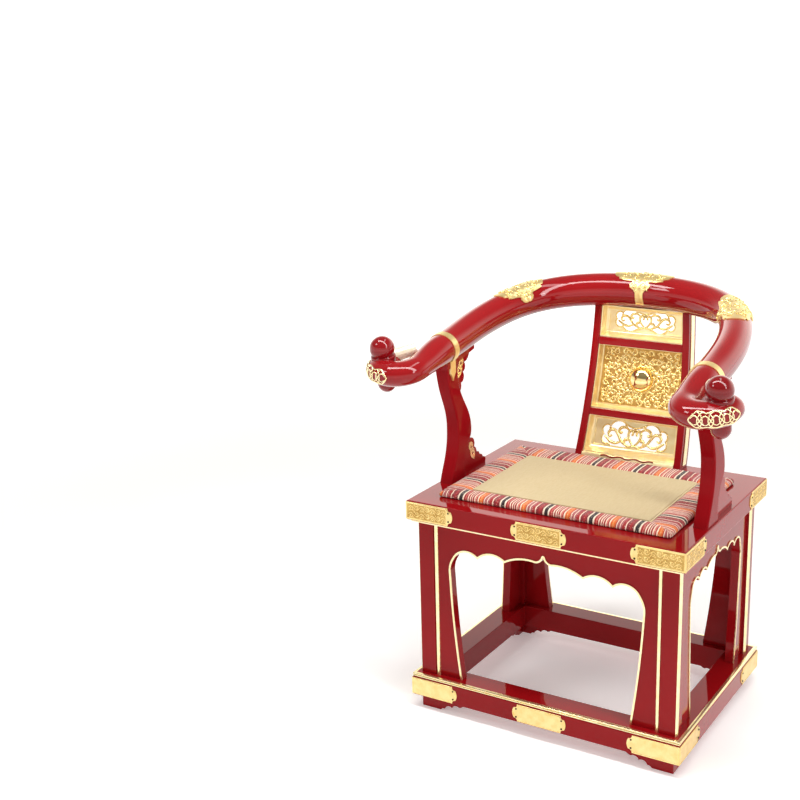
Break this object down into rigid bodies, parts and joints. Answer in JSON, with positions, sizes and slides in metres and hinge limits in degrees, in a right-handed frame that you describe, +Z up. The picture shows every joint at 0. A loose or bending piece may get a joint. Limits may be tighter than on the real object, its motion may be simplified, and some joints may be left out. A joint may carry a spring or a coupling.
{
  "type": "temple chair",
  "caption": "Lacquered temple armchair with a box stand, cusped openings, horseshoe arm rail with curled hands and jewel finials, gilt back panels and a loose rush mat.",
  "frame": {"origin": "on the floor under the middle of the chair's overall box", "axes": "+Z up, the front of the chair faces -Y, X across the seat"},
  "size_m": [0.7818, 0.6004, 0.8733],
  "materials": {
    "red_lacquer": "glossy lacquer",
    "gilt_fittings": "chased gilt",
    "polished_gilt": "polished gilt",
    "dark_nails": "dark patina",
    "plain_wood": "bare",
    "striped_cloth": "woven stripes",
    "rush": "woven rush"
  },
  "bodies": {
    "chair": {"apron_back": "red_lacquer", "apron_front": "red_lacquer", "apron_left": "red_lacquer", "apron_right": "red_lacquer", "arm_brackets": "red_lacquer", "arm_post_left": "red_lacquer", "arm_post_right": "red_lacquer", "back_rail_bottom": "red_lacquer", "back_rail_lower": "red_lacquer", "back_rail_upper": "red_lacquer", "base_edge": "gilt_fittings", "base_rail_back": "red_lacquer", "base_rail_front": "red_lacquer", "base_rail_left": "red_lacquer", "base_rail_right": "red_lacquer", "boss": "polished_gilt", "bracket_leaves": "gilt_fittings", "centre_cover": "gilt_fittings", "corner_plates": "gilt_fittings", "curl_tips": "gilt_fittings", "foot_back_left": "red_lacquer", "foot_back_right": "red_lacquer", "foot_brackets": "red_lacquer", "foot_front_left": "red_lacquer", "foot_front_right": "red_lacquer", "hand_fittings": "gilt_fittings", "jewels": "red_lacquer", "joint_covers": "gilt_fittings", "middle_plates": "gilt_fittings", "opening_edges": "gilt_fittings", "panel_bottom": "gilt_fittings", "panel_middle": "gilt_fittings", "panel_top": "gilt_fittings", "plate_nails": "dark_nails", "post_back_left": "red_lacquer", "post_back_right": "red_lacquer", "post_bands": "gilt_fittings", "post_front_left": "red_lacquer", "post_front_right": "red_lacquer", "rail_back_left": "red_lacquer", "rail_back_right": "red_lacquer", "rail_dowels": "plain_wood", "rail_front_left": "red_lacquer", "rail_front_right": "red_lacquer", "saddles": "red_lacquer", "seat_board": "red_lacquer", "seat_rail_back": "red_lacquer", "seat_rail_front": "red_lacquer", "seat_rail_left": "red_lacquer", "seat_rail_right": "red_lacquer", "seat_strip": "gilt_fittings", "stand_beads": "gilt_fittings", "stile_left": "red_lacquer", "stile_right": "red_lacquer", "stile_strips": "gilt_fittings"},
    "mat": {"mat_border": "striped_cloth", "mat_rush": "rush"}
  },
  "joints": [
    {"name": "mat_lift", "type": "slide", "parent": "chair", "child": "mat", "axis": [0, 0, 1], "range_m": [0, 0.1]}
  ]
}
